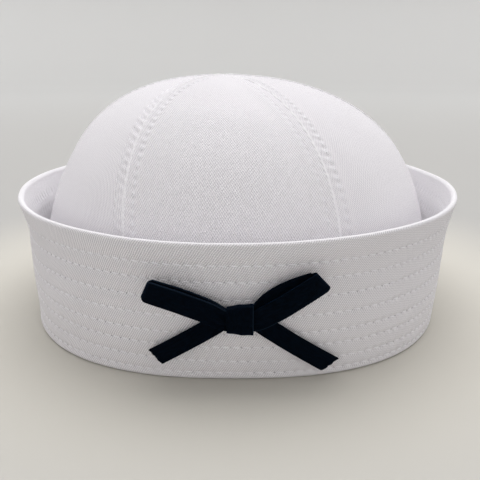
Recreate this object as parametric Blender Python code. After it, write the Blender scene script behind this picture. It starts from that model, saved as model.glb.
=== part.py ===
"""White sailor cap with a turned-up brim and a small velvet bow.

The frame has +Z up, the front of the cap faces -Y, and the origin is at the middle of the
base fold, on the surface that the cap rests on. The crown is six gores seamed at the top,
the brim is one stitched band whose lower edge is folded in under the crown's edge, and
the bow is one narrow ribbon tied in two loops and two tails round a knot. Angles named
"turn" run from the front of the cap towards +X.
"""

import math

import bmesh
import bpy

MM = 0.001

# Outline of the base fold, where the cap stands and the head goes in
BASE_HALF_WIDTH = 88.5 * MM
BASE_HALF_DEPTH = 97.4 * MM
BASE_SQUARENESS = 2.45  # exponent of the superellipse, 2 is a plain ellipse

# Brim: a band that stands up round the crown and leans outwards
BRIM_HEIGHT = 51.0 * MM
BRIM_FLARE = 8.2 * MM
BRIM_WALL = 2.6 * MM
RIM_SQUARENESS = 2.0
BRIM_PROFILE = (  # height share, flare share on the +X side, the same on the -X side
    (0.00, 0.00, 0.00),
    (0.16, 0.15, 0.06),
    (0.32, 0.31, 0.20),
    (0.48, 0.44, 0.32),
    (0.62, 0.53, 0.42),
    (0.76, 0.69, 0.50),
    (0.88, 0.92, 0.73),
    (1.00, 1.17, 1.00),
)
BRIM_STATIONS = 72
RIM_ROUND_STEPS = 4

# Hem: the brim's lower edge, folded in under the crown and up inside it
HEM_WALL = 1.2 * MM
HEM_LIP_HEIGHT = 9.0 * MM
FOLD_ROUNDING = 1.1 * MM
FOLD_ROUND_STEPS = 3

# Crown: a dome of six gores
CROWN_HEIGHT = 97.9 * MM
CROWN_WALL = 1.2 * MM
CROWN_RISE_POWER = 3.2
CROWN_REACH_POWER = 2.2
CROWN_TOP_SQUARENESS = 1.85
CROWN_FACETING = 0.16  # how far the upper gores flatten between their seams
APEX_LEAN = -5.5 * MM  # the top sits a little to the wearer's right
LEAN_POWER = 5.0  # the lean is all near the top
APEX_OPENING = 0.8 * MM  # radius where the gores' tips stop
GORES = (  # name, turn of its first seam at the base, the same at the top
    ("front", -18.5, -34.0),
    ("front_left", 22.5, 26.0),
    ("back_left", 88.0, 86.0),
    ("back", 152.0, 146.0),
    ("back_right", 208.0, 206.0),
    ("front_right", 272.0, 266.0),
)
GORE_COLUMNS = 12
GORE_ROWS = 14
GORE_ROW_CROWDING = 1.45  # above 1 the rows lie closer near the base

# Cloth pieces never touch: this is left at every seam and seat
SEAM_GAP = 0.3 * MM
FOLD_EASE = 0.5 * MM  # room for the crown's edge on both sides, inside the fold

# Bow: one velvet ribbon, sewn to the front of the brim through its knot
RIBBON_WIDTH = 7.5 * MM
RIBBON_WALL = 1.0 * MM
TAIL_CURL = 0.9  # share of the ribbon's width that shows in a tail, which curls a little
KNOT_PINCH = 0.66  # share of the ribbon's width that is left inside the knot
OPENS_BY = 0.2  # share of a run by which the ribbon has its full width again
KNOT_LENGTH = 8.6 * MM
KNOT_SLACK = 0.9 * MM
KNOT_BARREL = 0.3 * MM
KNOT_TAPER = 0.5 * MM  # the knot's half height grows by this from its middle towards +X
KNOT_SQUARENESS = 6.0
KNOT_STATIONS = 28
BOW_SIDE_OFFSET = 1.8 * MM
BOW_HEIGHT_SHARE = 0.495  # height of the knot as a share of the brim's height
TIP_FOLD_STEPS = 6
PATH_STEPS = 9
PATH_CROWDING = 1.5  # above 1 the steps lie closer near the knot
SLOPE_STEP = 0.01  # share of a run over which its slope is read

LEFT_LOOP_REACH = 30.4 * MM
RIGHT_LOOP_REACH = 26.3 * MM
LEFT_TAIL_REACH = 28.4 * MM
RIGHT_TAIL_REACH = 30.6 * MM
LOOP_BELLY = 1.1 * MM  # how far a loop's two layers part between knot and tip
BELLY_BY = 0.5  # share of a loop's run by which its layers have parted
LOOP_LIFT = 1.0 * MM  # how far a loop's tip stands off the brim
TAIL_LIFT = 0.5 * MM
LEFT_LOOP_FAN = 0.3 * MM  # how far the back layer of a loop stands above its front layer
RIGHT_LOOP_FAN = 3.6 * MM
FAN_SKEW = 0.8  # below 1 the layers fan most near the knot
LEFT_TAIL_SLANT = 0.5 * MM  # how far the cut end's upper corner reaches past its middle
RIGHT_TAIL_SLANT = 1.1 * MM

# Routes of the ribbon: outward share and upward share of the piece's reach
LEFT_LOOP_ROUTE = ((0.0, 0.0), (0.15, 0.008), (0.35, 0.11), (0.62, 0.22), (1.0, 0.33))
RIGHT_LOOP_ROUTE = ((0.0, 0.0), (0.19, 0.008), (0.32, 0.075), (0.65, 0.29), (1.0, 0.515))
LEFT_TAIL_ROUTE = ((0.0, 0.0), (0.17, -0.008), (0.34, -0.13), (0.68, -0.355), (1.0, -0.565))
RIGHT_TAIL_ROUTE = ((0.0, 0.0), (0.15, -0.015), (0.32, -0.145), (0.6, -0.355), (1.0, -0.645))


def mix(low, high, share):
    return low + (high - low) * share


def smooth_step(share):
    share = min(1.0, max(0.0, share))
    return share * share * (3.0 - 2.0 * share)


def read_table(rows, share, column=1):
    """Value in a table's column at share, on a smooth curve through its rows."""
    index = 0
    while index < len(rows) - 2 and share > rows[index + 1][0]:
        index += 1
    before = rows[max(index - 1, 0)]
    start, end = rows[index], rows[index + 1]
    after = rows[min(index + 2, len(rows) - 1)]
    span = end[0] - start[0]
    place = (share - start[0]) / span
    low, high = start[column], end[column]
    start_slope = (high - before[column]) / (end[0] - before[0]) * span
    end_slope = (after[column] - low) / (after[0] - start[0]) * span
    square, cube = place * place, place**3
    return (
        low * (2 * cube - 3 * square + 1)
        + start_slope * (cube - 2 * square + place)
        + high * (3 * square - 2 * cube)
        + end_slope * (cube - square)
    )


def outline_reach(turn, half_width, half_depth, squareness):
    """Distance from the axis to the outline in the direction of turn, in radians."""
    across = (abs(math.sin(turn)) / half_width) ** squareness
    along = (abs(math.cos(turn)) / half_depth) ** squareness
    return (across + along) ** (-1.0 / squareness)


def outline_point(turn, half_width, half_depth, squareness):
    reach = outline_reach(turn, half_width, half_depth, squareness)
    return reach * math.sin(turn), -reach * math.cos(turn)


def brim_outline(turn, height):
    """Half width, half depth and squareness of the brim's outer face at a height."""
    share = height / BRIM_HEIGHT
    sides = read_table(BRIM_PROFILE, share, 2), read_table(BRIM_PROFILE, share, 1)
    flare = BRIM_FLARE * mix(*sides, (1.0 + math.sin(turn)) / 2.0)
    squareness = mix(BASE_SQUARENESS, RIM_SQUARENESS, share)
    return BASE_HALF_WIDTH + flare, BASE_HALF_DEPTH + flare, squareness


def brim_front(side, height):
    """Y of the brim's outer face in front, at a sideways place and a height."""
    turn = math.atan2(side, BASE_HALF_DEPTH)
    half_width, half_depth, squareness = brim_outline(turn, height)
    share = abs(side) / half_width
    return -half_depth * (1.0 - share**squareness) ** (1.0 / squareness)


def link_piece(name, mesh, finish, parent):
    piece = bpy.data.objects.new(name, mesh)
    bpy.context.scene.collection.objects.link(piece)
    piece.data.materials.append(finish)
    piece.parent = parent
    return piece


def skin_sections(name, sections, closes, finish, parent, sharp_degrees=50.0):
    """One closed solid through sections with equally many points.

    A route that closes joins its last section to its first. Otherwise each section runs
    out along one face and back along the other, and strips of quads close both ends.
    """
    mesh = bpy.data.meshes.new(name)
    shape = bmesh.new()
    loops = [[shape.verts.new(point) for point in section] for section in sections]
    count = len(loops[0])
    pairs = list(zip(loops, loops[1:] + loops[:1])) if closes else list(zip(loops, loops[1:]))
    for here, there in pairs:
        for i in range(count):
            j = (i + 1) % count
            shape.faces.new((here[i], here[j], there[j], there[i]))
    if not closes:
        for loop in (loops[0], loops[-1]):
            for i in range(count // 2 - 1):
                shape.faces.new((loop[i], loop[i + 1], loop[-2 - i], loop[-1 - i]))
    bmesh.ops.recalc_face_normals(shape, faces=shape.faces)
    shape.to_mesh(mesh)
    shape.free()
    mesh.shade_smooth()
    mesh.set_sharp_from_angle(angle=math.radians(sharp_degrees))
    return link_piece(name, mesh, finish, parent)


def brim_section():
    """The brim's section as (inset from the outer face, height), once round."""
    rim_radius = BRIM_WALL / 2.0
    crown_seat = BRIM_WALL + FOLD_EASE + CROWN_WALL + FOLD_EASE
    hem_inner = crown_seat + HEM_WALL
    lip_top = HEM_WALL + HEM_LIP_HEIGHT
    lip_radius = HEM_WALL / 2.0
    straight_top = BRIM_HEIGHT - rim_radius

    def quarter(step, steps):
        return math.pi / 2.0 * step / steps

    section = []
    for step in range(FOLD_ROUND_STEPS):  # outer corner of the fold
        angle = quarter(step, FOLD_ROUND_STEPS)
        inset = FOLD_ROUNDING * (1.0 - math.sin(angle))
        section.append((inset, FOLD_ROUNDING * (1.0 - math.cos(angle))))
    for share, *_ in BRIM_PROFILE[:-1]:
        section.append((0.0, mix(FOLD_ROUNDING, straight_top, share)))
    for step in range(2 * RIM_ROUND_STEPS + 1):  # the rolled rim
        angle = quarter(step, RIM_ROUND_STEPS)
        inset = rim_radius * (1.0 - math.cos(angle))
        section.append((inset, straight_top + rim_radius * math.sin(angle)))
    for share, *_ in reversed(BRIM_PROFILE[1:-1]):
        section.append((BRIM_WALL, mix(HEM_WALL, straight_top, share)))
    section.append((BRIM_WALL, HEM_WALL))
    section.append((crown_seat, HEM_WALL))
    section.append((crown_seat, mix(HEM_WALL, lip_top, 0.5)))
    for step in range(RIM_ROUND_STEPS + 1):  # the rounded top of the hem's lip
        angle = math.pi * step / RIM_ROUND_STEPS
        inset = crown_seat + lip_radius * (1.0 - math.cos(angle))
        section.append((inset, lip_top - lip_radius + lip_radius * math.sin(angle)))
    section.append((hem_inner, mix(HEM_WALL, lip_top, 0.5)))
    for step in range(FOLD_ROUND_STEPS + 1):  # inner corner of the fold
        angle = quarter(step, FOLD_ROUND_STEPS)
        inset = hem_inner - FOLD_ROUNDING * (1.0 - math.cos(angle))
        section.append((inset, FOLD_ROUNDING * (1.0 - math.sin(angle))))
    return section


def make_brim(finish, parent):
    section = brim_section()
    rings = []
    for station in range(BRIM_STATIONS):
        turn = 2.0 * math.pi * station / BRIM_STATIONS
        ring = []
        for inset, height in section:
            half_width, half_depth, squareness = brim_outline(turn, height)
            if inset > BRIM_WALL:  # the hem follows the base outline, not the flare
                half_width, half_depth = BASE_HALF_WIDTH, BASE_HALF_DEPTH
                squareness = BASE_SQUARENESS
            x, y = outline_point(turn, half_width - inset, half_depth - inset, squareness)
            ring.append((x, y, height))
        rings.append(ring)
    return skin_sections("brim", rings, True, finish, parent)


def crown_point(gore, next_gore, across, rise, inset):
    """Point of a gore at a share across it and a rise angle from 0 at the base."""
    base_height = HEM_WALL + SEAM_GAP
    seat = BRIM_WALL + FOLD_EASE + inset
    height_share = math.sin(rise) ** (2.0 / CROWN_RISE_POWER)
    seam_before = math.radians(mix(gore[1], gore[2], height_share))
    seam_after = math.radians(mix(next_gore[1], next_gore[2], height_share))
    if seam_after < seam_before:
        seam_after += 2.0 * math.pi
    turn = mix(seam_before, seam_after, across)
    reach_share = math.cos(rise) ** (2.0 / CROWN_REACH_POWER)
    squareness = mix(BASE_SQUARENESS, CROWN_TOP_SQUARENESS, smooth_step(height_share))
    half_width, half_depth = BASE_HALF_WIDTH - seat, BASE_HALF_DEPTH - seat
    # A gore lies flatter between its seams, like the side of a polygon
    middle, half_span = (seam_before + seam_after) / 2.0, (seam_after - seam_before) / 2.0
    polygon = math.cos(half_span) / math.cos(turn - middle)
    flattening = CROWN_FACETING * smooth_step(height_share)
    reach = outline_reach(turn, half_width, half_depth, squareness)
    reach *= reach_share * mix(1.0, polygon, flattening)
    lean = APEX_LEAN * height_share**LEAN_POWER
    # Each gore ends half a seam gap short of the middle of its seams
    shift = SEAM_GAP / 2.0 * (1.0 - 2.0 * across)
    return (
        lean + reach * math.sin(turn) + shift * math.cos(turn),
        -reach * math.cos(turn) + shift * math.sin(turn),
        mix(base_height, CROWN_HEIGHT - inset, height_share),
    )


def make_gore(gore, next_gore, finish, parent):
    """One gore, from its edge in the fold to its tip at the top."""
    half_width = BASE_HALF_WIDTH - BRIM_WALL - FOLD_EASE
    tip_share = APEX_OPENING / half_width
    last_rise = math.acos(tip_share ** (CROWN_REACH_POWER / 2.0))
    sections = []
    for row in range(GORE_ROWS + 1):
        rise = last_rise * (row / GORE_ROWS) ** GORE_ROW_CROWDING
        faces = []
        for inset in (0.0, CROWN_WALL):
            face = []
            for column in range(GORE_COLUMNS + 1):
                share = column / GORE_COLUMNS
                face.append(crown_point(gore, next_gore, share, rise, inset))
            faces.append(face)
        sections.append(faces[0] + faces[1][::-1])
    return skin_sections("crown_gore_" + gore[0], sections, False, finish, parent)


def make_crown(finish, parent):
    for index, gore in enumerate(GORES):
        make_gore(gore, GORES[(index + 1) % len(GORES)], finish, parent)


def layer_depth(layer):
    """Distance of a layer's middle from the brim: knot back 0, tails 1, loops 2 and 3."""
    return SEAM_GAP + RIBBON_WALL / 2.0 + layer * (RIBBON_WALL + SEAM_GAP)


def bow_point(side, up, depth):
    """Point at a sideways and upward place from the knot, a depth out from the brim."""
    x = BOW_SIDE_OFFSET + side
    z = BOW_HEIGHT_SHARE * BRIM_HEIGHT + up
    return x, brim_front(x, z) - depth, z


def ribbon_point(route, reach, hand, along, across, depth):
    """Point of a ribbon at along and across its own run, at a depth from the brim.

    Hand is -1 for a run to the left of the picture and 1 for one to the right.
    """
    share = along / reach
    before, after = share - SLOPE_STEP, share + SLOPE_STEP
    up = reach * read_table(route, share)
    slope = (read_table(route, after) - read_table(route, before)) / (after - before)
    length = math.hypot(1.0, slope)
    side = hand * (along - across * slope / length)
    return bow_point(side, up + across / length, depth)


def share_outside(along, reach):
    """How far a place on a ribbon lies between the knot's mouth and the ribbon's tip."""
    mouth = KNOT_LENGTH / 2.0 + SEAM_GAP
    return max(0.0, (along - mouth) / (reach - mouth))


def run_places(stop):
    """Places along a ribbon: one inside the knot, then steps from its mouth to the stop."""
    mouth = KNOT_LENGTH / 2.0 + SEAM_GAP
    shares = [(step / PATH_STEPS) ** PATH_CROWDING for step in range(PATH_STEPS + 1)]
    return [SEAM_GAP] + [mix(mouth, stop, share) for share in shares]


def pinched_half(share):
    """Half the ribbon's width, gathered in the knot and open further out."""
    return RIBBON_WIDTH / 2.0 * mix(KNOT_PINCH, 1.0, smooth_step(share / OPENS_BY))


def make_loop(name, route, reach, hand, fan, finish, parent):
    """A flat loop: out along the back layer, over the fold at the tip, back in front."""
    back, front = layer_depth(2), layer_depth(3)
    path = []  # along, depth of the back layer, depth of the front layer, rise of the back
    for along in run_places(reach - RIBBON_WALL - LOOP_BELLY / 2.0):
        share = share_outside(along, reach)
        bulge = LOOP_BELLY * smooth_step(share / BELLY_BY)
        lift = LOOP_LIFT * share
        rise = fan * math.sin(math.pi * share**FAN_SKEW)
        path.append((along, back + lift, front + lift + bulge, rise))
    stop = path[-1][0]
    tip_middle = (path[-1][1] + path[-1][2]) / 2.0
    tip_radius = (path[-1][2] - path[-1][1]) / 2.0
    stations = [(along, low, rise) for along, low, _, rise in path]
    for step in range(1, TIP_FOLD_STEPS):
        angle = math.pi * step / TIP_FOLD_STEPS
        depth = tip_middle - tip_radius * math.cos(angle)
        stations.append((stop + tip_radius * math.sin(angle), depth, 0.0))
    stations += [(along, high, 0.0) for along, _, high, _ in reversed(path)]
    sections = []
    for i, (along, depth, rise) in enumerate(stations):
        ahead, behind = stations[min(i + 1, len(stations) - 1)], stations[max(i - 1, 0)]
        run = (ahead[0] - behind[0], ahead[1] - behind[1])
        length = math.hypot(*run)
        offset = (run[1] / length * RIBBON_WALL / 2.0, -run[0] / length * RIBBON_WALL / 2.0)
        half = pinched_half(share_outside(along, reach))
        section = []
        for sign, edges in ((1.0, (-half, 0.0, half)), (-1.0, (half, 0.0, -half))):
            for across in edges:
                place = along + sign * offset[0], depth + sign * offset[1]
                section.append(
                    ribbon_point(route, reach, hand, place[0], across + rise, place[1])
                )
        sections.append(section)
    return skin_sections(name, sections, False, finish, parent)


def make_tail(name, route, reach, hand, slant, finish, parent):
    """A single layer behind the loops, cut on the slant at its end."""
    middle = layer_depth(1)
    sections = []
    for run in run_places(reach):
        share = share_outside(run, reach)
        depth = middle + TAIL_LIFT * share
        half = pinched_half(share) * mix(1.0, TAIL_CURL, smooth_step(share / OPENS_BY))
        section = []
        for sign, edges in ((1.0, (-half, 0.0, half)), (-1.0, (half, 0.0, -half))):
            for across in edges:
                along = run + slant * share**4 * across / half
                out = depth + sign * RIBBON_WALL / 2.0
                section.append(ribbon_point(route, reach, hand, along, across, out))
        sections.append(section)
    return skin_sections(name, sections, False, finish, parent)


def make_knot(finish, parent):
    """A band round the middle of the bow, open at both sides where the ribbon comes out."""
    inner_up = RIBBON_WIDTH * KNOT_PINCH / 2.0 + SEAM_GAP + KNOT_SLACK
    back = SEAM_GAP + RIBBON_WALL
    front = layer_depth(3) + RIBBON_WALL / 2.0 + SEAM_GAP
    middle, inner_deep = (back + front) / 2.0, (front - back) / 2.0
    sections = []
    for station in range(KNOT_STATIONS):
        turn = 2.0 * math.pi * station / KNOT_STATIONS
        section = []
        for wall, edges in ((RIBBON_WALL, (-1.0, 0.0, 1.0)), (0.0, (1.0, 0.0, -1.0))):
            for edge in edges:
                barrel = KNOT_BARREL * (1.0 - edge * edge) if wall else 0.0
                half_height = inner_up + KNOT_TAPER * edge + wall + barrel
                half_depth = inner_deep + wall
                up, out = outline_point(turn, half_height, half_depth, KNOT_SQUARENESS)
                section.append(bow_point(edge * KNOT_LENGTH / 2.0, up, middle - out))
        sections.append(section)
    return skin_sections("bow_knot", sections, True, finish, parent)


def make_bow(finish, parent):
    make_loop(
        "bow_loop_left", LEFT_LOOP_ROUTE, LEFT_LOOP_REACH, -1, LEFT_LOOP_FAN, finish, parent
    )
    make_loop(
        "bow_loop_right", RIGHT_LOOP_ROUTE, RIGHT_LOOP_REACH, 1, RIGHT_LOOP_FAN, finish, parent
    )
    make_tail(
        "bow_tail_left", LEFT_TAIL_ROUTE, LEFT_TAIL_REACH, -1, LEFT_TAIL_SLANT, finish, parent
    )
    make_tail(
        "bow_tail_right", RIGHT_TAIL_ROUTE, RIGHT_TAIL_REACH, 1, RIGHT_TAIL_SLANT, finish, parent
    )
    make_knot(finish, parent)


def make_finish(name, colour, roughness):
    finish = bpy.data.materials.new(name)
    finish.use_nodes = True
    finish.diffuse_color = colour
    shader = finish.node_tree.nodes["Principled BSDF"]
    shader.inputs["Base Color"].default_value = colour
    shader.inputs["Roughness"].default_value = roughness
    shader.inputs["Metallic"].default_value = 0.0
    return finish


def main():
    for old in list(bpy.data.objects):
        bpy.data.objects.remove(old, do_unlink=True)
    twill = make_finish("white_cotton_twill", (0.83, 0.82, 0.84, 1.0), 0.9)
    velvet = make_finish("black_velvet", (0.006, 0.008, 0.012, 1.0), 0.95)
    cap = bpy.data.objects.new("sailor_cap", None)
    bpy.context.scene.collection.objects.link(cap)
    make_crown(twill, cap)
    make_brim(twill, cap)
    make_bow(velvet, cap)


main()
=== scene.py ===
import math

import bmesh
import bpy
from mathutils import Matrix, Vector, noise


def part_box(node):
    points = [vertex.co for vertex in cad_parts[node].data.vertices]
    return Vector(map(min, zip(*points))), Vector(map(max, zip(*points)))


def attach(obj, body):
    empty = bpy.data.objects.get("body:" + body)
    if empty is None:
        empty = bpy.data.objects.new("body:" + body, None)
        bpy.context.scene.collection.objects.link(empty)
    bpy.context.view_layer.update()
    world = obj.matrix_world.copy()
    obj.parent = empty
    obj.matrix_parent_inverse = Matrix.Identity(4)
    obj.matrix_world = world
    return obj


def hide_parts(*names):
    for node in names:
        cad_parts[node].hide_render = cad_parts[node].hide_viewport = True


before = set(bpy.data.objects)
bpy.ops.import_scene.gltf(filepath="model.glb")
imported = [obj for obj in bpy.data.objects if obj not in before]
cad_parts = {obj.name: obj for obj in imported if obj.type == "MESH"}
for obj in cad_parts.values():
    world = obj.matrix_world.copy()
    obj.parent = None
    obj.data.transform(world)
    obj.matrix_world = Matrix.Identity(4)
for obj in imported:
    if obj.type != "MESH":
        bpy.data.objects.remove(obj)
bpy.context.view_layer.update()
scene = bpy.context.scene
mm = 0.001
fullTurn = 2 * math.pi
print("frame loaded:", len(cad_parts), "solids")


# Small helpers for shares and tables

def mix(low, high, share):
    return low + (high - low) * share


def smooth(share):
    share = min(1.0, max(0.0, share))
    return share * share * (3 - 2 * share)


def hump(offset, width):
    return math.exp(-(offset / width) ** 2)


def readTable(rows, share, column=1):
    # a smooth curve through the rows, as in the cap's own pattern
    index = 0
    while index < len(rows) - 2 and share > rows[index + 1][0]:
        index += 1
    before, after = rows[max(index - 1, 0)], rows[min(index + 2, len(rows) - 1)]
    start, end = rows[index], rows[index + 1]
    low, high = start[column], end[column]
    span = end[0] - start[0]
    place = (share - start[0]) / span
    startSlope = (high - before[column]) / (end[0] - before[0]) * span
    endSlope = (after[column] - low) / (after[0] - start[0]) * span
    square, cube = place ** 2, place ** 3
    value = low * (2 * cube - 3 * square + 1) + high * (3 * square - 2 * cube)
    return value + startSlope * (cube - 2 * square + place) + endSlope * (cube - square)


def wander(place, size, seed):
    # a soft drift from -1 to 1 over lumps of a given size, the same on every run
    return noise.noise(Vector(place) / size + Vector((seed, 1.7 * seed, -seed)))


def outlinePoint(turn, halfWidth, halfDepth, squareness):
    across = (abs(math.sin(turn)) / halfWidth) ** squareness
    along = (abs(math.cos(turn)) / halfDepth) ** squareness
    reach = (across + along) ** (-1 / squareness)
    return reach * math.sin(turn), -reach * math.cos(turn)


# Materials

def linear(hexColour):
    channels = [int(hexColour[i:i + 2], 16) / 255 for i in (0, 2, 4)]
    channels = [c / 12.92 if c <= 0.04045 else ((c + 0.055) / 1.055) ** 2.4 for c in channels]
    return channels + [1.0]


def addNode(tree, kind, inputs=None, **settings):
    node = tree.nodes.new(kind)
    for name, value in settings.items():
        setattr(node, name, value)
    for name, value in (inputs or {}).items():
        if isinstance(value, bpy.types.NodeSocket):
            tree.links.new(value, node.inputs[name])
        else:
            node.inputs[name].default_value = value
    return node


def startMaterial(name, roughness, **sockets):
    material = bpy.data.materials.new(name)
    material.use_nodes = True
    tree = material.node_tree
    shader = tree.nodes["Principled BSDF"]
    shader.inputs["Roughness"].default_value = roughness
    for socket, value in sockets.items():
        shader.inputs[socket.replace("_", " ")].default_value = value
    return material, tree, shader


twill = {
    "threadColour": "FDFBFD",   # bleached yarn, very slightly violet in the fibre's own shade
    "needleHoleShadeColour": "98959E",   # the shade inside a needle hole
    # painted highlight along the crown seams' lips
    "seamHighlightColour": "FDFBFE",
    "roughness": 0.92,
    "floatShare": 0.75,         # floats along a wale to one wale's width
    "floatStep": 0.37,          # how far each wale's floats are set off from the last one's
    "waver": 0.9,               # how far the wales waver, in wale widths
    "waleRelief": 0.17 * mm,
    "holeWidth": 0.38 * mm,
    "puckerRelief": 0.14 * mm,
    "puckerWidth": 1.2 * mm,
}


def makeTwill(name, waleSpacing, waleAngle, valleyShadeColour, floatRelief, pitch, holeShadeShare):
    # Bleached cotton twill, piece-washed: matt, with fine slanting wales and a soft bloom
    material, tree, shader = startMaterial(
        name, twill["roughness"], Sheen_Weight=0.18, Sheen_Roughness=0.6,
        Specular_IOR_Level=0.25)
    cloth = addNode(tree, "ShaderNodeUVMap", uv_map="cloth")
    turned = addNode(tree, "ShaderNodeMapping", {
        "Vector": cloth.outputs["UV"],
        "Rotation": (0, 0, -math.radians(waleAngle)),
        "Scale": (1 / waleSpacing,) * 3})
    # the wales waver a little, as yarn of uneven thickness makes them
    waver = addNode(tree, "ShaderNodeTexNoise", {"Vector": turned.outputs[0], "Scale": 0.22,
                                                 "Detail": 2.0})
    parts = addNode(tree, "ShaderNodeSeparateXYZ", {"Vector": turned.outputs[0]})
    drift = addNode(tree, "ShaderNodeMath", {0: waver.outputs["Fac"], 1: twill["waver"],
                                             2: parts.outputs["Y"]}, operation="MULTIPLY_ADD")
    wave = addNode(tree, "ShaderNodeMath", {0: drift.outputs[0], 1: fullTurn},
                   operation="MULTIPLY")
    wale = addNode(tree, "ShaderNodeMath", {0: wave.outputs[0]}, operation="SINE")
    # each wale is a row of short floats, set off from those of the next
    stepped = addNode(tree, "ShaderNodeMath", {0: drift.outputs[0]}, operation="FLOOR")
    offset = addNode(tree, "ShaderNodeMath", {0: stepped.outputs[0], 1: twill["floatStep"],
                                              2: parts.outputs["X"]}, operation="MULTIPLY_ADD")
    floatWave = addNode(tree, "ShaderNodeMath", {
        0: offset.outputs[0], 1: twill["floatShare"] * fullTurn}, operation="MULTIPLY")
    floats = addNode(tree, "ShaderNodeMath", {0: floatWave.outputs[0]}, operation="SINE")
    weave = addNode(tree, "ShaderNodeMath", {0: floats.outputs[0], 1: floatRelief,
                                             2: wale.outputs[0]}, operation="MULTIPLY_ADD")
    weaveShare = addNode(tree, "ShaderNodeMapRange", {"Value": weave.outputs[0],
                                                      "From Min": -1.3, "From Max": 1.1})
    # stitches: one needle hole between each two, painted as a grey dot of shade, and the cloth drawn
    # in along the row
    run = addNode(tree, "ShaderNodeAttribute", attribute_name="rowRun")
    off = addNode(tree, "ShaderNodeAttribute", attribute_name="rowOffset")
    place = addNode(tree, "ShaderNodeMath", {0: run.outputs["Fac"]}, operation="FRACT")
    fromHole = addNode(tree, "ShaderNodeMath", {0: place.outputs[0], 1: 0.5},
                       operation="SUBTRACT")
    along = addNode(tree, "ShaderNodeMath", {0: fromHole.outputs[0], 1: pitch / mm},
                    operation="MULTIPLY")
    away = addNode(tree, "ShaderNodeCombineXYZ", {"X": along.outputs[0],
                                                  "Y": off.outputs["Fac"]})
    distance = addNode(tree, "ShaderNodeVectorMath", {0: away.outputs[0]}, operation="LENGTH")
    hole = addNode(tree, "ShaderNodeMapRange", {
        "Value": distance.outputs["Value"], "From Min": twill["holeWidth"] / mm,
        "From Max": 0.3 * twill["holeWidth"] / mm, "To Min": 0.0, "To Max": holeShadeShare},
        interpolation_type="SMOOTHSTEP")
    around = addNode(tree, "ShaderNodeMath", {0: place.outputs[0], 1: fullTurn},
                     operation="MULTIPLY")
    ripple = addNode(tree, "ShaderNodeMath", {0: around.outputs[0]}, operation="COSINE")
    near = addNode(tree, "ShaderNodeMath", {0: off.outputs["Fac"]}, operation="ABSOLUTE")
    fade = addNode(tree, "ShaderNodeMapRange", {
        "Value": near.outputs[0], "From Min": 0.0, "From Max": 2 * twill["puckerWidth"] / mm,
        "To Min": 1.0, "To Max": 0.0}, interpolation_type="SMOOTHSTEP")
    pucker = addNode(tree, "ShaderNodeMath", {0: ripple.outputs[0], 1: fade.outputs[0]},
                     operation="MULTIPLY")
    # washed cloth is never quite even in shade
    body = addNode(tree, "ShaderNodeTexCoord")
    cloud = addNode(tree, "ShaderNodeTexNoise", {"Vector": body.outputs["Object"],
                                                 "Scale": 26.0, "Detail": 4.0})
    closing = addNode(tree, "ShaderNodeTexNoise", {"Vector": body.outputs["Object"],
                                                   "Scale": 130.0, "Detail": 1.0})
    holeOpen = addNode(tree, "ShaderNodeMapRange", {"Value": closing.outputs["Fac"],
                                                 "From Min": 0.30, "From Max": 0.52})
    holeShadeLeft = addNode(tree, "ShaderNodeMath", {0: hole.outputs[0], 1: holeOpen.outputs[0]},
                       operation="MULTIPLY")
    cloudShade = addNode(tree, "ShaderNodeMapRange", {"Value": cloud.outputs["Fac"],
                                                      "To Min": 0.965, "To Max": 1.0})
    # the wales are real, but the grey of their valleys is painted shade in the weave's grooves
    woven = addNode(tree, "ShaderNodeMix", {0: weaveShare.outputs[0],
                                            6: linear(valleyShadeColour),
                                            7: linear(twill["threadColour"])},
                    data_type="RGBA")
    shaded = addNode(tree, "ShaderNodeMix", {0: 1.0, 6: woven.outputs[2],
                                             7: cloudShade.outputs[0]},
                     data_type="RGBA", blend_type="MULTIPLY")
    # painted shade: a grey dot where each needle hole is
    holeShaded = addNode(tree, "ShaderNodeMix", {0: holeShadeLeft.outputs[0], 6: shaded.outputs[2],
                                            7: linear(twill["needleHoleShadeColour"])},
                    data_type="RGBA")
    # the seam's fine lip is painted whiter: a painted highlight where its edge catches the light
    fold = addNode(tree, "ShaderNodeAttribute", attribute_name="seamLipHighlight")
    edged = addNode(tree, "ShaderNodeMix", {0: fold.outputs["Fac"], 6: holeShaded.outputs[2],
                                            7: linear(twill["seamHighlightColour"])}, data_type="RGBA")
    tree.links.new(edged.outputs[2], shader.inputs["Base Color"])
    weaveBump = addNode(tree, "ShaderNodeBump", {"Height": weaveShare.outputs[0],
                                                 "Distance": twill["waleRelief"]})
    puckerBump = addNode(tree, "ShaderNodeBump", {"Height": pucker.outputs[0],
                                                  "Distance": twill["puckerRelief"],
                                                  "Normal": weaveBump.outputs[0]})
    fuzz = addNode(tree, "ShaderNodeTexNoise", {"Vector": body.outputs["Object"],
                                                "Scale": 900.0, "Detail": 3.0})
    fuzzBump = addNode(tree, "ShaderNodeBump", {"Height": fuzz.outputs["Fac"],
                                                "Strength": 0.5, "Distance": 0.12 * mm,
                                                "Normal": puckerBump.outputs[0]})
    tree.links.new(fuzzBump.outputs[0], shader.inputs["Normal"])
    return material


def makeThread():
    # Spun polyester sewing thread: whiter and smoother than the cloth, with a soft glint
    material, tree, shader = startMaterial(
        "whiteSpunThread", 0.55, Sheen_Weight=0.2, Specular_IOR_Level=0.45)
    body = addNode(tree, "ShaderNodeTexCoord")
    plies = addNode(tree, "ShaderNodeTexNoise", {"Vector": body.outputs["Object"],
                                                 "Scale": 1800.0, "Detail": 2.0})
    tone = addNode(tree, "ShaderNodeMix", {0: plies.outputs["Fac"], 6: linear("E6E4EA"),
                                           7: linear("FBFAFD")}, data_type="RGBA")
    tree.links.new(tone.outputs[2], shader.inputs["Base Color"])
    bump = addNode(tree, "ShaderNodeBump", {"Height": plies.outputs["Fac"],
                                            "Distance": 0.05 * mm})
    tree.links.new(bump.outputs[0], shader.inputs["Normal"])
    return material


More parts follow.
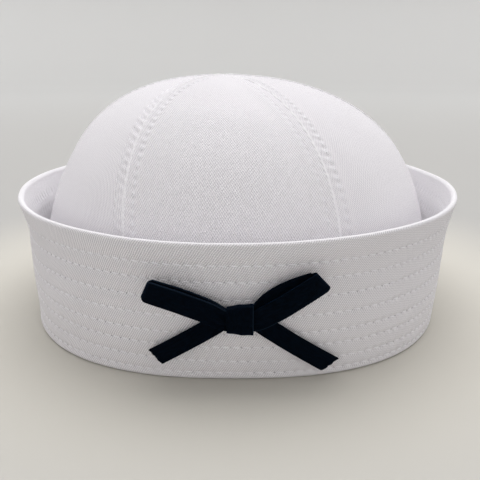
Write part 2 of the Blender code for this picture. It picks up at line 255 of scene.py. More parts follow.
velvetLook = {
    "deepColour": "000309",
    "pileColour": "010A15",
    # a lighter stripe along the woven edge: painted sheen
    "selvedgeSheenColour": "131D28",
    "edgeBegins": 3.4 * mm,     # from the ribbon's middle line
    "edgeFull": 3.6 * mm,
}


def makeVelvet():
    # Rayon velvet ribbon, woven pile cut short: it swallows light, and its edges look bluish
    material, tree, shader = startMaterial(
        "blackVelvetPile", 0.95, Sheen_Weight=0.3, Sheen_Roughness=0.35,
        Sheen_Tint=linear("14508A"), Specular_IOR_Level=0.05)
    cloth = addNode(tree, "ShaderNodeUVMap", uv_map="cloth")
    stretched = addNode(tree, "ShaderNodeMapping", {"Vector": cloth.outputs["UV"],
                                                    "Scale": (500.0, 1600.0, 1.0)})
    brushed = addNode(tree, "ShaderNodeTexNoise", {"Vector": stretched.outputs[0],
                                                   "Scale": 1.0, "Detail": 4.0})
    tone = addNode(tree, "ShaderNodeMapRange", {"Value": brushed.outputs["Fac"],
                                                "From Min": 0.35, "From Max": 0.7})
    colour = addNode(tree, "ShaderNodeMix", {0: tone.outputs[0], 6: linear(velvetLook["deepColour"]),
                                             7: linear(velvetLook["pileColour"])},
                     data_type="RGBA")
    # the ribbon's woven edge has no pile, and its shine is painted in as a lighter stripe: painted
    # sheen
    parts = addNode(tree, "ShaderNodeSeparateXYZ", {"Vector": cloth.outputs["UV"]})
    selvedgeSheen = addNode(tree, "ShaderNodeMapRange", {
        "Value": parts.outputs["Y"], "From Min": velvetLook["edgeBegins"],
        "From Max": velvetLook["edgeFull"]})
    edged = addNode(tree, "ShaderNodeMix", {0: selvedgeSheen.outputs[0], 6: colour.outputs[2],
                                            7: linear(velvetLook["selvedgeSheenColour"])}, data_type="RGBA")
    tree.links.new(edged.outputs[2], shader.inputs["Base Color"])
    body = addNode(tree, "ShaderNodeTexCoord")
    pile = addNode(tree, "ShaderNodeTexNoise", {"Vector": body.outputs["Object"],
                                                "Scale": 3200.0, "Detail": 2.0})
    bump = addNode(tree, "ShaderNodeBump", {"Height": pile.outputs["Fac"],
                                            "Strength": 0.8, "Distance": 0.2 * mm})
    tree.links.new(bump.outputs[0], shader.inputs["Normal"])
    return material


# Making and placing pieces

def finishPiece(name, bm, material, stands=None):
    mesh = bpy.data.meshes.new(name)
    bm.to_mesh(mesh)
    bm.free()
    mesh.shade_smooth()
    mesh.materials.append(material)
    piece = bpy.data.objects.new(name, mesh)
    scene.collection.objects.link(piece)
    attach(piece, "root")
    if stands:
        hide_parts(stands)
    return piece


def thicken(piece, thickness, offset):
    wall = piece.modifiers.new("wall", "SOLIDIFY")
    wall.thickness = thickness
    wall.offset = offset
    wall.use_even_offset = True


def clothGrid(columns, rows, crowding=0.0, layers=()):
    # a flat grid with its vertices by column and row, crowded towards both side edges
    bm = bmesh.new()
    bmesh.ops.create_grid(bm, x_segments=columns, y_segments=rows, size=0.5)
    for name in layers:
        bm.verts.layers.float.new(name)
    lattice = [[None] * (columns + 1) for _ in range(rows + 1)]
    for vert in bm.verts:
        column = round((vert.co.x + 0.5) * columns)
        lattice[round((vert.co.y + 0.5) * rows)][column] = vert
    shares = [c / columns for c in range(columns + 1)]
    shares = [s - crowding / fullTurn * math.sin(fullTurn * s) for s in shares]
    return bm, lattice, shares


def layClothMap(bm, places):
    # the flat cloth's own coordinates, in metres, kept at each corner of each face
    layer = bm.loops.layers.uv.new("cloth")
    for face in bm.faces:
        for loop in face.loops:
            loop[layer].uv = places[loop.vert]


stitchSides = 6
stitchRings = 5
farOffset = 9.0                 # mm from a stitch row, said where no row is near
brimStitch = {
    "length": 2.6 * mm,
    "width": 0.46 * mm,
    "height": 0.66 * mm,
    "slant": 0.12,              # each stitch lies a little aslant in its row
}
bobbinStitch = {                # pulled tight on the inside of the brim
    "length": 2.3 * mm,
    "width": 0.32 * mm,
    "height": 0.22 * mm,
    "slant": 0.06,
}
crownStitch = {
    "length": 2.5 * mm,
    "width": 0.42 * mm,
    "height": 0.42 * mm,
    "slant": 0.08,
}


def sewStitches(name, places, stitch, material):
    # places holds a point, a run direction and an outward direction for each stitch
    shape = bmesh.new()
    # the sphere's poles point along the thread
    bmesh.ops.create_uvsphere(shape, u_segments=stitchSides, v_segments=stitchRings,
                              radius=1, matrix=Matrix.Rotation(math.pi / 2, 4, "Y"))
    shape.verts.index_update()
    shaped = Matrix.Diagonal((stitch["length"] / 2, stitch["width"] / 2,
                              stitch["height"] / 2, 1))
    bm = bmesh.new()
    for point, along, outward in places:
        along = along.normalized()
        side = outward.cross(along).normalized()
        along = (along - stitch["slant"] * side).normalized()
        side = outward.cross(along).normalized()
        outward = along.cross(side)
        turned = Matrix((along, side, outward)).transposed().to_4x4()
        placed = Matrix.Translation(point) @ turned @ shaped
        verts = [bm.verts.new(placed @ vert.co) for vert in shape.verts]
        for face in shape.faces:
            bm.faces.new([verts[vert.index] for vert in face.verts])
    shape.free()
    return finishPiece(name, bm, material)


# The brim: one stitched band round the head, with a rolled rim and a folded base

brimLow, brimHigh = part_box("brim")
brim = {
    "height": brimHigh.z,
    "flare": 8.2 * mm,
    "underRim": 0.4 * mm,
    "wall": 2.2 * mm,
    "baseSquareness": 2.45,
    "rimSquareness": 2.0,
    "profile": (  # height share, flare share at +X, the same at -X
        (0.00, 0.00, 0.00), (0.16, 0.15, 0.06), (0.32, 0.31, 0.20), (0.48, 0.44, 0.32),
        (0.62, 0.53, 0.42), (0.76, 0.69, 0.50), (0.88, 0.92, 0.73), (1.00, 1.17, 1.00)),
    "hemWall": 1.2 * mm,
    "hemLip": 9.0 * mm,
    "foldRounding": 1.1 * mm,
    "crownSeat": 4.8 * mm,      # from the outer face to the hem's outer side
    "stations": 400,
    "outerSteps": 96,
    "innerSteps": 60,
    "rollSteps": 12,
    "foldSteps": 5,
    "lipSteps": 6,
    "bead": 0.16 * mm,          # the rolled rim is this much fatter on both sides
    "beadReach": 2.4 * mm,
    "rowPitch": 3.45 * mm,      # stitch length along a row
    "rowPhase": 0.37,           # how far each row's stitches are set off from the last one's
    "rowDepth": 0.34 * mm,
    "rowWidth": 0.75 * mm,
    "rows": (  # share from the rim down, at -X and at +X
        (0.161, 0.155), (0.272, 0.280), (0.401, 0.400), (0.523, 0.530),
        (0.631, 0.667), (0.726, 0.770), (0.834, 0.880), (0.936, 0.958)),
    "insideRelief": 0.45,       # the rows draw the inner face in less than the outer one
    "insideRows": 6,            # the lower ones are hidden behind the crown
    "sway": (0.55 * mm, 0.045, 3.1),    # drifts: how far, over what lumps, and a seed
    "ripple": (0.22 * mm, 0.017, 7.7),
    "rimWave": (0.5 * mm, 0.06, 11.3),
    "rowSwell": 0.10 * mm,      # the cloth stands out a little between its rows
    "calmAtRim": 2.5 * mm,      # the rows' relief fades over this much below the rim
}
# the rim is widest a little below its top, so the box shows slightly less than its flare
rimFlare = brim["flare"] * (brim["profile"][-1][1] + brim["profile"][-1][2]) / 2
brim["halfWidth"] = brim["underRim"] - brimLow.x - brim["flare"]
brim["halfDepth"] = brim["underRim"] + (brimHigh.y - brimLow.y) / 2 - rimFlare


def brimOutline(turn, height):
    share = height / brim["height"]
    left, right = (readTable(brim["profile"], share, column) for column in (2, 1))
    flare = brim["flare"] * mix(left, right, (1 + math.sin(turn)) / 2)
    squareness = mix(brim["baseSquareness"], brim["rimSquareness"], share)
    return brim["halfWidth"] + flare, brim["halfDepth"] + flare, squareness


def rowHeight(row, turn):
    atLeft, atRight = row
    share = mix(atLeft, atRight, (1 + math.sin(turn)) / 2)
    return brim["height"] * (1 - share)


def nearestRow(turn, height):
    offsets = [height - rowHeight(row, turn) for row in brim["rows"]]
    index = min(range(len(offsets)), key=lambda i: abs(offsets[i]))
    return index, offsets[index]


def brimPoint(turn, inset, height, side):
    # side is 1 on the outer face, -1 on the inner face, 0 where nothing shows
    halfWidth, halfDepth, squareness = brimOutline(turn, height)
    if inset > brim["wall"] + brim["bead"] + 0.1 * mm:
        halfWidth, halfDepth = brim["halfWidth"], brim["halfDepth"]
        squareness = brim["baseSquareness"]
    share = height / brim["height"]
    free = smooth(share * 1.4)
    place = (math.sin(turn) * 0.09, math.cos(turn) * 0.1, height)
    drift = 0.0
    for far, lumps, seed in (brim["sway"], brim["ripple"]):
        drift += far * free * wander(place, lumps, seed)
    far, lumps, seed = brim["rimWave"]
    lift = far * smooth(share * 3 - 2) * wander(place, lumps, seed)
    relief = 0.0
    if side:
        _, offset = nearestRow(turn, height)
        relief = brim["rowSwell"] - brim["rowDepth"] * hump(offset, brim["rowWidth"])
        relief *= 1.0 if side > 0 else brim["insideRelief"]
        relief *= smooth((brim["height"] - height) / brim["calmAtRim"])
    x, y = outlinePoint(turn, halfWidth - inset + drift + relief * side,
                        halfDepth - inset + drift + relief * side, squareness)
    return Vector((x, y, height + lift))


def beadAt(height):
    return brim["bead"] * smooth(1 - (brim["height"] - height) / brim["beadReach"])


def brimSection():
    # the band's section, once round: inset from the outer face, height, side that shows
    rollRadius = brim["wall"] / 2 + brim["bead"]
    hemInner = brim["crownSeat"] + brim["hemWall"]
    lipTop = brim["hemWall"] + brim["hemLip"]
    lipRadius = brim["hemWall"] / 2
    rounding = brim["foldRounding"]
    top = brim["height"] - rollRadius
    section = []
    foldSteps, lipSteps = brim["foldSteps"], brim["lipSteps"]
    for step in range(foldSteps):
        angle = math.pi / 2 * step / foldSteps
        section.append((rounding * (1 - math.sin(angle)), rounding * (1 - math.cos(angle)), 0))
    for step in range(brim["outerSteps"]):
        height = mix(rounding, top, step / brim["outerSteps"])
        section.append((-beadAt(height), height, 1))
    for step in range(brim["rollSteps"] + 1):
        angle = math.pi * step / brim["rollSteps"]
        section.append((brim["wall"] / 2 - rollRadius * math.cos(angle),
                        top + rollRadius * math.sin(angle), 0))
    for step in range(1, brim["innerSteps"]):
        height = mix(top, brim["hemWall"], step / brim["innerSteps"])
        section.append((brim["wall"] + beadAt(height), height, -1))
    section.append((brim["wall"], brim["hemWall"], 0))
    section.append((brim["crownSeat"], brim["hemWall"], 0))
    for step in range(1, foldSteps):
        height = mix(brim["hemWall"], lipTop - lipRadius, step / foldSteps)
        section.append((brim["crownSeat"], height, 0))
    for step in range(lipSteps + 1):
        angle = math.pi * step / lipSteps
        section.append((brim["crownSeat"] + lipRadius * (1 - math.cos(angle)),
                        lipTop - lipRadius + lipRadius * math.sin(angle), 0))
    for step in range(1, foldSteps):
        section.append((hemInner, mix(lipTop - lipRadius, rounding, step / foldSteps), 0))
    for step in range(foldSteps + 1):
        angle = math.pi / 2 * step / foldSteps
        section.append((hemInner - rounding * (1 - math.cos(angle)),
                        rounding * (1 - math.sin(angle)), 0))
    return section


def makeBrim(material, litInsideMaterial):
    section = brimSection()
    spinRadius = 0.1
    bm = bmesh.new()
    station = bm.verts.layers.int.new("station")
    first = [bm.verts.new((0, inset - spinRadius, height)) for inset, height, _ in section]
    for index, vert in enumerate(first):
        vert[station] = index
    edges = [bm.edges.new((first[i - 1], first[i])) for i in range(len(first))]
    bmesh.ops.spin(bm, geom=first + edges, cent=(0, 0, 0), axis=(0, 0, 1), dvec=(0, 0, 0),
                   angle=fullTurn, steps=brim["stations"], use_merge=True)
    bmesh.ops.recalc_face_normals(bm, faces=bm.faces)
    # length along the section, so that the weave keeps its scale over the roll
    runs = [0.0]
    for before, after in zip(section, section[1:]):
        runs.append(runs[-1] + math.hypot(after[0] - before[0], after[1] - before[1]))
    girth = math.pi * (brim["halfWidth"] + brim["halfDepth"] + brim["flare"])
    stitchCount = round(girth / brim["rowPitch"])
    rowOffset = bm.verts.layers.float.new("rowOffset")
    places = {}
    turns = {}
    for vert in bm.verts:
        index = vert[station]
        inset, height, side = section[index]
        turn = math.atan2(vert.co.x, -vert.co.y)
        vert.co = brimPoint(turn, inset, height, side)
        row, offset = nearestRow(turn, height)
        vert[rowOffset] = abs(offset) / mm if side else farOffset
        places[vert] = (turn / fullTurn * girth, runs[index], brim["rowPhase"] * row)
        turns[vert] = turn
    layer = bm.loops.layers.uv.new("cloth")
    rowRun = bm.loops.layers.float.new("rowRun")
    outerEnd = brim["foldSteps"] + brim["outerSteps"] + brim["rollSteps"] // 3
    for face in bm.faces:
        # the rim's top, the inside and the hem take a lighter, finer copy of the twill, whose paler
        # tone is painted light
        face.material_index = 1 if max(v[station] for v in face.verts) > outerEnd else 0
        crossing = max(turns[v] for v in face.verts) - min(turns[v] for v in face.verts)
        for loop in face.loops:
            u, v, phase = places[loop.vert]
            if crossing > math.pi and u < 0:
                u += girth
            loop[layer].uv = (u, v)
            loop[rowRun] = u / girth * stitchCount + phase
    piece = finishPiece("brim_band", bm, material, "brim")
    piece.data.materials.append(litInsideMaterial)
    # the band is one thick cloth, up the rim, in at the base and up again as the hem
    print("brim made:", len(piece.data.vertices), "points,", stitchCount, "stitches a row")
    return stitchCount


def brimStitches(name, side, rows, stitchCount, stitch, thread):
    step = 0.002
    inset = 0.0 if side > 0 else brim["wall"]
    places = []
    for index, row in enumerate(rows):
        for count in range(stitchCount):
            # the same phase as the needle holes in the cloth
            turn = (count - brim["rowPhase"] * index) / stitchCount * fullTurn
            height = rowHeight(row, turn)
            point = brimPoint(turn, inset, height, side)
            ahead = brimPoint(turn + step, inset, rowHeight(row, turn + step), side)
            above = brimPoint(turn, inset, height + 0.3 * mm, side)
            below = brimPoint(turn, inset, height - 0.3 * mm, side)
            along = ahead - point
            outward = along.cross(above - below).normalized() * side
            sway = wander((turn * 9, index, side), 0.35, 5.0)
            along = along.normalized() + (above - below).normalized() * 0.05 * sway
            places.append((point, along, outward))
    return sewStitches(name, places, stitch, thread)


# The crown: six gores, seamed and topstitched

gores = (  # name, turn of the first seam at the base, the same at the top
    ("front", -17.9, -32.9),
    ("front_left", 21.9, 25.6),
    ("back_left", 88.0, 86.0),
    ("back", 152.0, 146.0),
    ("back_right", 208.0, 206.0),
    ("front_right", 272.0, 266.0),
)
goreBoxes = [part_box("crown_gore_" + gore[0]) for gore in gores]
crown = {
    "halfWidth": max(high.x for _, high in goreBoxes),
    "halfDepth": max(high.y for _, high in goreBoxes),
    "bottom": min(low.z for low, _ in goreBoxes),
    "top": max(high.z for _, high in goreBoxes),
    "wall": 0.9 * mm,
    "risePower": 3.2,
    "reachPower": 2.2,
    "baseSquareness": 2.45,
    "topSquareness": 1.85,
    "faceting": 0.16,
    "lean": -5.5 * mm,
    "leanPower": 5.0,
    "tipRadius": 0.12 * mm,
    "columns": 72,
    "rows": 190,
    "rowCrowding": 1.25,
    "columnCrowding": 0.86,
    "lipHeight": 0.65 * mm,     # a fine ridge, where one gore's edge turns in over the next
    "lipWidth": 0.33 * mm,
    "seamDepth": 0.10 * mm,
    "seamWidth": 0.15 * mm,
    "rowFromSeam": 4.0 * mm,
    "rowPitch": 3.7 * mm,
    "rowDepth": 0.26 * mm,
    "rowWidth": 0.6 * mm,
    "allowanceLift": 0.25 * mm,
    "puckerHeight": 0.27 * mm,
    "drawn": ((0.40, 1.25), (0.75, 0.65)),  # puckers each side of the front gore's two seams
    "puckerReach": 5.4 * mm,
    "puckerSlant": 0.5,
    "puckerBand": (0.9, 4.2),   # mm from the seam: full strength between these two
    "allowanceBand": (1.5, 5, 3.5),  # mm: full from, full to, and the fade after it
    "fadeWidth": 16 * mm,       # a gore narrower than this is sewn flatter
    "sewnWidth": 14 * mm,       # and narrower than this it has no topstitching
    "calmAtSeam": 12 * mm,      # the soft waves fade over this much beside a seam
    "waves": ((0.8 * mm, 0.05, 4.0), (0.3 * mm, 0.02, 6.0)),  # how far, lumps, seed
}


def domePoint(gore, nextGore, across, rise):
    heightShare = math.sin(rise) ** (2 / crown["risePower"])
    reachShare = math.cos(rise) ** (2 / crown["reachPower"])
    squareness = mix(crown["baseSquareness"], crown["topSquareness"], smooth(heightShare))
    before = math.radians(mix(gore[1], gore[2], heightShare))
    after = math.radians(mix(nextGore[1], nextGore[2], heightShare))
    if after < before:
        after += fullTurn
    turn = mix(before, after, across)
    polygon = math.cos((after - before) / 2) / math.cos(turn - (before + after) / 2)
    share = reachShare * mix(1.0, polygon, crown["faceting"] * smooth(heightShare))
    x, y = outlinePoint(turn, crown["halfWidth"], crown["halfDepth"], squareness)
    lean = crown["lean"] * heightShare ** crown["leanPower"]
    return Vector((lean + x * share, y * share,
                   mix(crown["bottom"], crown["top"], heightShare)))


def goreRelief(fromSeam, run, seam, side, width):
    # how the sewing shapes the cloth near a seam, as a height over the plain dome
    near = fromSeam / mm
    fade = smooth(width / crown["fadeWidth"])
    place = (run, 0.01 * side, 0.02 * seam)
    strength = 0.55 + 0.75 * wander(place, 0.016, 2.0 + seam)
    here, beyond = crown["drawn"][min(seam, 1)]
    strength *= here if (side > 0) == (seam == 0) else beyond
    phase = 0.9 * wander(place, 0.011, 9.0 + seam + 3 * side)
    slant = crown["puckerSlant"] * near * side
    wave = math.sin(fullTurn * run / crown["rowPitch"] + phase + slant)
    reach = crown["puckerReach"] / mm
    start, full = crown["puckerBand"]
    inside = smooth(near / start) * (1 - smooth((near - full) / (reach - full)))
    relief = crown["puckerHeight"] * strength * wave * inside * fade
    start, full, after = crown["allowanceBand"]
    lifted = smooth(near / start) * (1 - smooth((near - full) / after))
    relief += crown["allowanceLift"] * lifted * fade
    offset = fromSeam - crown["rowFromSeam"]
    relief -= crown["rowDepth"] * hump(offset, crown["rowWidth"]) * fade
    if (side > 0) == (seam != 1):
        relief += crown["lipHeight"] * hump(fromSeam - crown["lipWidth"], crown["lipWidth"])
    relief -= crown["seamDepth"] * (1 - smooth(fromSeam / crown["seamWidth"])) * mix(0.4, 1, fade)
    return relief


def makeGore(index, material):
    gore, nextGore = gores[index], gores[(index + 1) % len(gores)]
    layers = ("rowOffset", "rowRun", "seamLipHighlight")
    bm, lattice, shares = clothGrid(crown["columns"], crown["rows"], crown["columnCrowding"],
                                    layers)
    lastRise = math.acos((crown["tipRadius"] / crown["halfWidth"]) ** (crown["reachPower"] / 2))
    rowOffset, rowRun, seamLipHighlight = (bm.verts.layers.float[layer] for layer in layers)
    for row, verts in enumerate(lattice):
        rise = lastRise * (row / crown["rows"]) ** crown["rowCrowding"]
        for share, vert in zip(shares, verts):
            vert.co = domePoint(gore, nextGore, share, rise)
    bm.normal_update()
    normals = {vert: vert.normal.copy() for vert in bm.verts}
    plain = [[vert.co.copy() for vert in verts] for verts in lattice]
    middle = len(shares) // 2
    runs = {"start": 0.0, "middle": 0.0, "end": 0.0}
    places = {}
    stitchPlaces = {0: [], 1: []}
    for row, verts in enumerate(lattice):
        across = [0.0]
        for before, after in zip(plain[row], plain[row][1:]):
            across.append(across[-1] + (after - before).length)
        width = across[-1]
        if row:
            rise = plain[row][middle] - plain[row - 1][middle]
            runs["middle"] += rise.length
            runs["start"] += (plain[row][0] - plain[row - 1][0]).length
            runs["end"] += (plain[row][-1] - plain[row - 1][-1]).length
        for column, vert in enumerate(verts):
            fromStart, fromEnd = across[column], width - across[column]
            relief = goreRelief(fromStart, runs["start"], index, 1, width)
            relief += goreRelief(fromEnd, runs["end"], (index + 1) % len(gores), -1, width)
            soft = smooth(min(fromStart, fromEnd) / crown["calmAtSeam"])
            place = plain[row][column]
            for far, lumps, seed in crown["waves"]:
                relief += far * soft * wander(place, lumps, seed)
            vert.co = place + normals[vert] * relief
            places[vert] = (across[column] - width / 2, runs["middle"])
            starts = fromStart < fromEnd
            nearest = min(fromStart, fromEnd) - crown["rowFromSeam"]
            vert[rowOffset] = abs(nearest) / mm if width > crown["sewnWidth"] else farOffset
            vert[rowRun] = runs["start" if starts else "end"] / crown["rowPitch"]
            # painted highlight along the lip of each seam
            vert[seamLipHighlight] = hump(min(fromStart, fromEnd) - crown["lipWidth"],
                                    crown["lipWidth"])
        if width > crown["sewnWidth"]:
            for side, distances in ((0, across), (1, [width - a for a in reversed(across)])):
                column = next(c for c in range(len(distances))
                              if distances[c] >= crown["rowFromSeam"])
                between = ((crown["rowFromSeam"] - distances[column - 1])
                           / (distances[column] - distances[column - 1]))
                ordered = verts if side == 0 else verts[::-1]
                low, high = ordered[column - 1], ordered[column]
                stitchPlaces[side].append((runs["end" if side else "start"], low, high, between))
    bm.normal_update()
    layClothMap(bm, places)
    sewn = []
    for line in stitchPlaces.values():
        sewn += goreStitches(line)
    piece = finishPiece("gore_" + gore[0], bm, material,
                        "crown_gore_" + gore[0])
    thicken(piece, crown["wall"], -1)
    return sewn


def goreStitches(line):
    # one stitch at each whole pitch along a line of sampled points
    points = [(run, low.co.lerp(high.co, between), low.normal.lerp(high.normal, between))
              for run, low, high, between in line]
    places = []
    for index in range(1, len(points) - 1):
        run, point, outward = points[index]
        if int(run / crown["rowPitch"]) == int(points[index - 1][0] / crown["rowPitch"]):
            continue
        target = int(run / crown["rowPitch"]) * crown["rowPitch"]
        before = points[index - 1]
        share = (target - before[0]) / (run - before[0])
        along = points[index + 1][1] - before[1]
        places.append((before[1].lerp(point, share), along, outward.normalized()))
    return places


# The bow: one velvet ribbon in two loops and two tails round a knot

bow = {
    "ribbonWidth": 7.5 * mm,
    "ribbonWall": 1.0 * mm,
    "gap": 0.3 * mm,
    "knotPinch": 0.94,
    "knotInside": 3.7 * mm,     # half the height inside the knot
    "opensBy": 0.2,
    "knotLength": 8.6 * mm,
    "sideOffset": 1.8 * mm,
    "heightShare": 0.495,
    "tailCurl": 0.9,            # the tails curl to this share of the width
    "tailLift": 0.5 * mm,
    "loopBelly": 1.1 * mm,
    "bellyBy": 0.5,
    "loopLift": 1.0 * mm,
    "fanSkew": 0.8,
    "foldSlant": -0.4 * mm,
    "fray": 0.55 * mm,
    "edgeRounding": 0.3 * mm,
    "columns": 14,
    "steps": 60,
    "turnSteps": 14,            # round the fold at a loop's end
    "gather": 0.20 * mm,        # small folds beside the knot
    "curl": 0.25 * mm,
    "knotBarrel": 0.3 * mm,
    "knotLean": 0.5 * mm,
    "knotCrease": 0.07 * mm,
    "knotNarrowing": 0.09,
    "knotColumns": 24,
    "knotStations": 72,
}
ribbons = {  # reach, hand (-1 towards -X), rise of the back layer, slant of the cut end or
    # rounding of the fold's corners, side whose woven edge gets the painted sheen stripe (1 upper,
    # -1 lower),
    # route as outward share and upward share of the reach
    "bow_loop_left": (30.4 * mm, -1, 0.3 * mm, 1.1 * mm, 1,
                      ((0, 0), (0.15, 0.008), (0.35, 0.11), (0.62, 0.22), (1, 0.33))),
    "bow_loop_right": (26.3 * mm, 1, 3.0 * mm, 0.25 * mm, -1,
                       ((0, 0), (0.19, 0.008), (0.32, 0.075), (0.65, 0.29), (1, 0.515))),
    "bow_tail_left": (28.4 * mm, -1, 0.0, 0.5 * mm, 0,
                      ((0, 0), (0.17, -0.008), (0.34, -0.13), (0.68, -0.355), (1, -0.565))),
    "bow_tail_right": (30.6 * mm, 1, 0.0, 1.1 * mm, 0,
                       ((0, 0), (0.15, -0.015), (0.32, -0.145), (0.6, -0.355), (1, -0.645))),
}


def layerDepth(layer):
    return bow["gap"] + bow["ribbonWall"] / 2 + layer * (bow["ribbonWall"] + bow["gap"])


def bowPoint(side, up, depth):
    x = bow["sideOffset"] + side
    z = bow["heightShare"] * brim["height"] + up
    turn = math.atan2(x, brim["halfDepth"])
    halfWidth, halfDepth, squareness = brimOutline(turn, z)
    share = abs(x) / halfWidth
    front = -halfDepth * (1 - share ** squareness) ** (1 / squareness)
    return Vector((x, front - depth, z))


def ribbonPoint(name, along, across, depth):
    reach, hand, _, _, _, route = ribbons[name]
    share = along / reach
    up = reach * readTable(route, share)
    slope = (readTable(route, share + 0.01) - readTable(route, share - 0.01)) / 0.02
    length = math.hypot(1, slope)
    return bowPoint(hand * (along - across * slope / length), up + across / length, depth)


def halfRibbon(share):
    opening = smooth(share / bow["opensBy"])
    return bow["ribbonWidth"] / 2 * mix(bow["knotPinch"], 1.0, opening)


def shareOutside(along, reach):
    mouth = bow["knotLength"] / 2 + bow["gap"]
    return max(0.0, (along - mouth) / (reach - mouth))


def makeRibbon(name, material):
    reach, _, fan, corner, shows, _ = ribbons[name]
    loops = name.startswith("bow_loop")
    stations = []  # along, depth, rise, share outside, narrowing
    stop = reach - bow["ribbonWall"] - bow["loopBelly"] / 2 if loops else reach
    for step in range(bow["steps"] + 1):
        along = mix(bow["gap"], stop, step / bow["steps"])
        share = shareOutside(along, reach)
        if loops:
            depth = layerDepth(2) + bow["loopLift"] * share
            rise = fan * math.sin(math.pi * share ** bow["fanSkew"])
            stations.append((along, depth, rise, share, 0.0))
        else:
            stations.append((along, layerDepth(1) + bow["tailLift"] * share, 0.0, share, 0.0))
    if loops:
        low = stations[-1][1]
        high = layerDepth(3) + bow["loopLift"] * stations[-1][3] + bow["loopBelly"]
        radius = (high - low) / 2
        for step in range(1, bow["turnSteps"]):
            angle = math.pi * step / bow["turnSteps"]
            stations.append((stop + radius * math.sin(angle),
                             low + radius * (1 - math.cos(angle)), 0.0, 1.0,
                             corner * math.sin(angle) ** 2))
        for step in range(bow["steps"] + 1):
            along = mix(stop, bow["gap"], step / bow["steps"])
            share = shareOutside(along, reach)
            depth = layerDepth(3) + bow["loopLift"] * share
            depth += bow["loopBelly"] * smooth(share / bow["bellyBy"])
            stations.append((along, depth, 0.0, share, 0.0))
    bm, lattice, _ = clothGrid(bow["columns"], len(stations) - 1)
    run = 0.0
    places = {}
    for row, (verts, (along, depth, rise, share, less)) in enumerate(zip(lattice, stations)):
        half = halfRibbon(share) - less
        if not loops:
            half *= mix(1.0, bow["tailCurl"], smooth(share / bow["opensBy"]))
        if row:
            run += math.hypot(along - stations[row - 1][0], depth - stations[row - 1][1])
        for column, vert in enumerate(verts):
            across = mix(-half, half, column / bow["columns"])
            edge = across / half
            slant = (bow["foldSlant"] if loops else corner) * share ** 4 * edge
            if not loops:
                # the cut end frays a little
                slant += bow["fray"] * share ** 30 * wander((across, corner, 0), 0.0009, 8.0)
            # folds gathered by the knot, fading outwards
            gather = math.cos(edge * 6.5) * bow["gather"] * (1 - smooth(share / 0.3))
            curl = -bow["curl"] * edge ** 2 * smooth(share * 3)
            vert.co = ribbonPoint(name, along + slant, across + rise, depth + gather + curl)
            # the painted sheen stripe goes on that edge; 0.9 keeps it off both edges
            places[vert] = (run, edge * (shows or 0.9) * bow["ribbonWidth"] / 2)
    bmesh.ops.recalc_face_normals(bm, faces=bm.faces)
    layClothMap(bm, places)
    piece = finishPiece(name + "_velvet", bm, material, name)
    thicken(piece, bow["ribbonWall"] * 0.8, 0)
    rounding = piece.modifiers.new("soft edges", "BEVEL")
    rounding.width = bow["edgeRounding"]
    rounding.segments = 3
    rounding.limit_method = "ANGLE"
    rounding.angle_limit = math.radians(50)


def makeKnot(material):
    innerUp = bow["knotInside"]
    back = bow["gap"] + bow["ribbonWall"]
    front = layerDepth(3) + bow["ribbonWall"] / 2 + bow["gap"]
    middle, innerDeep = (back + front) / 2, (front - back) / 2
    wall = bow["ribbonWall"] * 0.9
    columns, stations = bow["knotColumns"], bow["knotStations"]
    bm, lattice, _ = clothGrid(columns, stations)
    places = {}
    for row, verts in enumerate(lattice):
        turn = fullTurn * row / stations
        for column, vert in enumerate(verts):
            edge = mix(-1.0, 1.0, column / columns)
            barrel = bow["knotBarrel"] * (1 - edge ** 2) + bow["knotLean"] * edge
            crease = bow["knotCrease"] * math.cos(edge * 6.0 + 0.8 * math.sin(turn))
            up, out = outlinePoint(turn, innerUp + wall + barrel + crease,
                                   innerDeep + wall + crease, 4.0)
            # the wrap is a little narrower at the front's lower side
            low = smooth(-up / innerUp) * smooth(out / innerDeep)
            narrow = 1 - bow["knotNarrowing"] * (1 + edge) * low
            vert.co = bowPoint(edge * narrow * bow["knotLength"] / 2, up, middle - out)
            # both edges of the wrap reach the painted sheen stripe
            places[vert] = (turn / fullTurn * 0.03, edge * bow["ribbonWidth"] / 2)
    layClothMap(bm, places)
    # the cut length is that of the ribbon's middle line, once round
    # the wrap's two ends meet at its back
    bmesh.ops.remove_doubles(bm, verts=bm.verts, dist=0.01 * mm)
    bmesh.ops.recalc_face_normals(bm, faces=bm.faces)
    piece = finishPiece("bow_knot_velvet", bm, material, "bow_knot")
    thicken(piece, wall, -1)


# Stage, light and camera

cameraLook = {
    "place": (1.8 * mm, -280 * mm, 105 * mm),
    "tiltDown": 16.8,
    "lens": 45.0,
    "sensor": 36.0,
}


roomLight = {
    "colour": "F4F2F4",
    "front": 0.10,
    "back": 1.22,
    "sunFrom": (0.06, 0.40, 0.92),
    "sunSpread": 70,
    "sun": 2.15,
}

stage = {
    "floorRadius": 2.2,
    "sweepRadius": 3.0,
    # the warm white under the cap is the surface's own tone; the grey ring and the lighter far sweep
    # are painted shade and painted light that even out the light on the stage
    "colours": (  # distance from the cap, colour: warm white under it, greyer further off
        (0.11, "C9C6BD"), (0.21, "B1B0AD"), (1.8, "C0C0BE"), (4.5, "E6E6E4")),
}


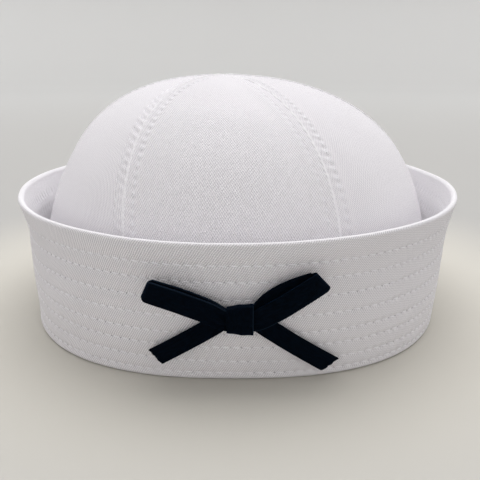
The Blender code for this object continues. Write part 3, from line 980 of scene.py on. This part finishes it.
def makeStage():
    bm = bmesh.new()
    bmesh.ops.create_circle(bm, cap_ends=True, radius=stage["floorRadius"], segments=96)
    rim = [edge for edge in bm.edges if edge.is_boundary]
    # the floor sweeps up into the backdrop all round
    for step in range(1, 13):
        grown = bmesh.ops.extrude_edge_only(bm, edges=rim)["geom"]
        rim = [part for part in grown if isinstance(part, bmesh.types.BMEdge)]
        angle = math.pi / 2 * step / 12
        for vert in {v for edge in rim for v in edge.verts}:
            direction = Vector((vert.co.x, vert.co.y, 0)).normalized()
            vert.co = direction * (stage["floorRadius"] + stage["sweepRadius"] * math.sin(angle))
            vert.co.z = stage["sweepRadius"] * (1 - math.cos(angle))
    bmesh.ops.recalc_face_normals(bm, faces=bm.faces)
    bmesh.ops.reverse_faces(bm, faces=bm.faces)
    mesh = bpy.data.meshes.new("studio_floor")
    bm.to_mesh(mesh)
    bm.free()
    mesh.shade_smooth()
    # Matt studio paper, warm under the cap and neutral further off
    material, tree, shader = startMaterial("paleStudioPaper", 0.85)
    body = addNode(tree, "ShaderNodeTexCoord")
    away = addNode(tree, "ShaderNodeVectorMath", {0: body.outputs["Object"]},
                   operation="LENGTH")
    colour = linear(stage["colours"][0][1])
    for (near, _), (far, hexColour) in zip(stage["colours"], stage["colours"][1:]):
        share = addNode(tree, "ShaderNodeMapRange", {
            "Value": away.outputs["Value"], "From Min": near, "From Max": far},
            interpolation_type="SMOOTHSTEP")
        tone = addNode(tree, "ShaderNodeMix", {0: share.outputs[0], 6: colour,
                                               7: linear(hexColour)}, data_type="RGBA")
        colour = tone.outputs[2]
    tree.links.new(colour, shader.inputs["Base Color"])
    mesh.materials.append(material)
    floor = bpy.data.objects.new("studio_floor", mesh)
    scene.collection.objects.link(floor)


def makeSun(name, comesFrom, spread, strength):
    data = bpy.data.lights.new(name, "SUN")
    data.angle = math.radians(spread)
    data.energy = strength
    light = bpy.data.objects.new(name, data)
    scene.collection.objects.link(light)
    light.rotation_euler = (-Vector(comesFrom)).to_track_quat("-Z", "Y").to_euler()


def makeView():
    data = bpy.data.cameras.new("photo_camera")
    data.sensor_width = cameraLook["sensor"]
    data.lens = cameraLook["lens"]
    camera = bpy.data.objects.new("photo_camera", data)
    scene.collection.objects.link(camera)
    camera.location = cameraLook["place"]
    camera.rotation_euler = (math.radians(90 - cameraLook["tiltDown"]), 0, 0)
    scene.camera = camera
    world = bpy.data.worlds.new("soft_room")
    scene.world = world
    world.use_nodes = True
    tree = world.node_tree
    room = tree.nodes["Background"]
    room.inputs["Color"].default_value = linear(roomLight["colour"])
    # the room is brighter behind the cap than behind the camera
    body = addNode(tree, "ShaderNodeTexCoord")
    parts = addNode(tree, "ShaderNodeSeparateXYZ", {"Vector": body.outputs["Generated"]})
    level = addNode(tree, "ShaderNodeMapRange", {
        "Value": parts.outputs["Y"], "From Min": -1.0, "From Max": 1.0,
        "To Min": roomLight["front"], "To Max": roomLight["back"]})
    tree.links.new(level.outputs[0], room.inputs["Strength"])
    makeSun("ceiling_light", roomLight["sunFrom"], roomLight["sunSpread"], roomLight["sun"])
    scene.view_settings.view_transform = "Standard"


makeView()
makeStage()
print("camera, light and stage ready")

thread = makeThread()
brimTwill = makeTwill("bleachedTwillBrim", 0.68 * mm, 58, "C9C5CC", 0.22, brim["rowPitch"], 1.0)
# a lighter copy of the brim's twill, with paler valleys and fainter holes: painted light on the
# brim's inside
litInsideTwill = makeTwill("bleachedTwillLitInside", 0.5 * mm, 58, "F3F1F5", 0.3, brim["rowPitch"], 0.3)
crownTwill = makeTwill("bleachedTwillCrown", 0.72 * mm, 118, "D8D4DB", 0.5, crown["rowPitch"], 0.35)
velvet = makeVelvet()

stitchCount = makeBrim(brimTwill, litInsideTwill)
brimStitches("brim_stitches_outside", 1, brim["rows"], stitchCount, brimStitch, thread)
brimStitches("brim_stitches_inside", -1, brim["rows"][:brim["insideRows"]], stitchCount,
             bobbinStitch, thread)
print("brim stitched")

crownSewing = []
for index in range(len(gores)):
    crownSewing += makeGore(index, crownTwill)
sewStitches("crown_stitches", crownSewing, crownStitch, thread)
print("crown made:", len(crownSewing), "stitches")

for name in ribbons:
    makeRibbon(name, velvet)
makeKnot(velvet)
print("bow tied")
